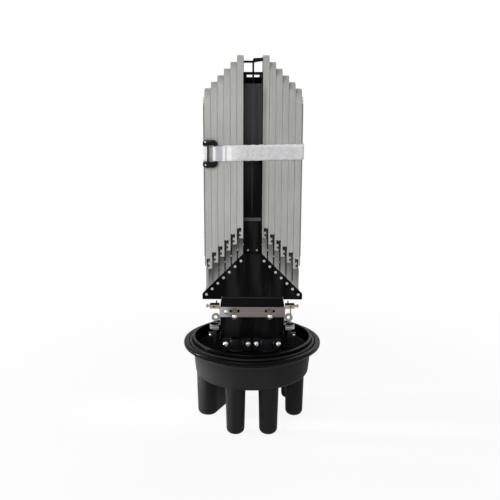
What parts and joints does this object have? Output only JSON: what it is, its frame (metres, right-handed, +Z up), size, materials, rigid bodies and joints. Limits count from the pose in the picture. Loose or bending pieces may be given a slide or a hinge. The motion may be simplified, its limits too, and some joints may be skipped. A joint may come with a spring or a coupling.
{
  "type": "dome splice closure",
  "caption": "Fibre splice closure without its dome: round base with closed cable ports, stepped stacks of hinged grey splice trays held by a strap.",
  "frame": {"origin": "on the closure's axis, in the plane of the ports' closed ends", "axes": "+Z up along the closure, -Y towards the side with the cable saddles, +X to the right of a viewer who faces that side"},
  "size_m": [0.267, 0.267, 0.6996],
  "materials": {
    "base_black": "moulded, matte below the flange and satin above",
    "seal": "smooth elastomer",
    "frame_black": "satin moulded plastic",
    "screw_steel": "bright domed steel screws",
    "hinge_grey": "light grey moulded plastic",
    "barrel_black": "smooth black rods",
    "cover_grey": "dark grey sheet",
    "bracket_steel": "zinc-plated sheet steel",
    "brass": "turned brass",
    "terminal_brass": "dull brass",
    "fitting_steel": "bright steel",
    "gloss_black": "glossy moulded plastic",
    "tray_grey": "light warm grey moulded plastic",
    "lid_clear": "smoky clear sheet",
    "strap_white": "woven hook-and-loop band"
  },
  "bodies": {
    "frame": {"base_body": "base_black", "seal_ring": "seal", "frame_foot": "frame_black", "deck_plate": "frame_black", "column": "frame_black", "tray_stop": "frame_black", "delta_plate_front": "frame_black", "delta_plate_back": "frame_black", "foot_screws": "screw_steel", "column_screws": "screw_steel", "bracket_screws": "screw_steel", "terminal_screws": "screw_steel", "trough_screws": "screw_steel", "saddle_screws": "screw_steel", "tie_rods_left": "screw_steel", "tie_rods_right": "screw_steel", "hinge_block_left": "hinge_grey", "hinge_block_right": "hinge_grey", "column_bar": "hinge_grey", "hinge_barrels_left": "barrel_black", "hinge_barrels_right": "barrel_black", "column_cover": "cover_grey", "cross_bracket": "bracket_steel", "bracket_bolts": "brass", "bracket_nuts": "brass", "terminal_left": "terminal_brass", "terminal_right": "terminal_brass", "earth_rod": "fitting_steel", "hose_clamp_left": "fitting_steel", "hose_clamp_right": "fitting_steel", "eye_lug_left": "fitting_steel", "eye_lug_right": "fitting_steel", "saddle_left": "gloss_black", "saddle_right": "gloss_black", "trough_left": "gloss_black", "trough_right": "gloss_black", "strap_buckle": "gloss_black", "strap": "strap_white"},
    "tray_left_1": {"tray_left_1": "tray_grey"},
    "tray_left_2": {"tray_left_2": "tray_grey"},
    "tray_left_3": {"tray_left_3": "tray_grey"},
    "tray_left_4": {"tray_left_4": "tray_grey"},
    "tray_left_5": {"tray_left_5": "tray_grey"},
    "tray_left_6": {"tray_left_6": "tray_grey", "lid_left": "lid_clear"},
    "tray_right_1": {"tray_right_1": "tray_grey"},
    "tray_right_2": {"tray_right_2": "tray_grey"},
    "tray_right_3": {"tray_right_3": "tray_grey"},
    "tray_right_4": {"tray_right_4": "tray_grey"},
    "tray_right_5": {"tray_right_5": "tray_grey"},
    "tray_right_6": {"tray_right_6": "tray_grey", "lid_right": "lid_clear"}
  },
  "joints": [
    {"name": "tray_left_1_hinge", "type": "hinge", "parent": "frame", "child": "tray_left_1", "pos_m": [-0.02365, 0, 0.38095], "axis": [0, -1, 0], "range_deg": [0, 90], "deforming": ["strap", "strap_buckle"]},
    {"name": "tray_left_2_hinge", "type": "hinge", "parent": "frame", "child": "tray_left_2", "pos_m": [-0.03515, 0, 0.36945], "axis": [0, -1, 0], "range_deg": [0, 90]},
    {"name": "tray_left_3_hinge", "type": "hinge", "parent": "frame", "child": "tray_left_3", "pos_m": [-0.04665, 0, 0.35795], "axis": [0, -1, 0], "range_deg": [0, 90]},
    {"name": "tray_left_4_hinge", "type": "hinge", "parent": "frame", "child": "tray_left_4", "pos_m": [-0.05815, 0, 0.34645], "axis": [0, -1, 0], "range_deg": [0, 90]},
    {"name": "tray_left_5_hinge", "type": "hinge", "parent": "frame", "child": "tray_left_5", "pos_m": [-0.06965, 0, 0.33495], "axis": [0, -1, 0], "range_deg": [0, 90]},
    {"name": "tray_left_6_hinge", "type": "hinge", "parent": "frame", "child": "tray_left_6", "pos_m": [-0.08115, 0, 0.32345], "axis": [0, -1, 0], "range_deg": [0, 90]},
    {"name": "tray_right_1_hinge", "type": "hinge", "parent": "frame", "child": "tray_right_1", "pos_m": [0.02365, 0, 0.38095], "axis": [0, 1, 0], "range_deg": [0, 90], "deforming": ["strap", "strap_buckle"]},
    {"name": "tray_right_2_hinge", "type": "hinge", "parent": "frame", "child": "tray_right_2", "pos_m": [0.03515, 0, 0.36945], "axis": [0, 1, 0], "range_deg": [0, 90]},
    {"name": "tray_right_3_hinge", "type": "hinge", "parent": "frame", "child": "tray_right_3", "pos_m": [0.04665, 0, 0.35795], "axis": [0, 1, 0], "range_deg": [0, 90]},
    {"name": "tray_right_4_hinge", "type": "hinge", "parent": "frame", "child": "tray_right_4", "pos_m": [0.05815, 0, 0.34645], "axis": [0, 1, 0], "range_deg": [0, 90]},
    {"name": "tray_right_5_hinge", "type": "hinge", "parent": "frame", "child": "tray_right_5", "pos_m": [0.06965, 0, 0.33495], "axis": [0, 1, 0], "range_deg": [0, 90]},
    {"name": "tray_right_6_hinge", "type": "hinge", "parent": "frame", "child": "tray_right_6", "pos_m": [0.08115, 0, 0.32345], "axis": [0, 1, 0], "range_deg": [0, 90]}
  ],
  "couplings": [
    {"joint": "tray_left_2_hinge", "follows": "tray_left_1_hinge", "ratio": 1},
    {"joint": "tray_left_3_hinge", "follows": "tray_left_1_hinge", "ratio": 1},
    {"joint": "tray_left_4_hinge", "follows": "tray_left_1_hinge", "ratio": 1},
    {"joint": "tray_left_5_hinge", "follows": "tray_left_1_hinge", "ratio": 1},
    {"joint": "tray_left_6_hinge", "follows": "tray_left_1_hinge", "ratio": 1},
    {"joint": "tray_right_2_hinge", "follows": "tray_right_1_hinge", "ratio": 1},
    {"joint": "tray_right_3_hinge", "follows": "tray_right_1_hinge", "ratio": 1},
    {"joint": "tray_right_4_hinge", "follows": "tray_right_1_hinge", "ratio": 1},
    {"joint": "tray_right_5_hinge", "follows": "tray_right_1_hinge", "ratio": 1},
    {"joint": "tray_right_6_hinge", "follows": "tray_right_1_hinge", "ratio": 1}
  ]
}
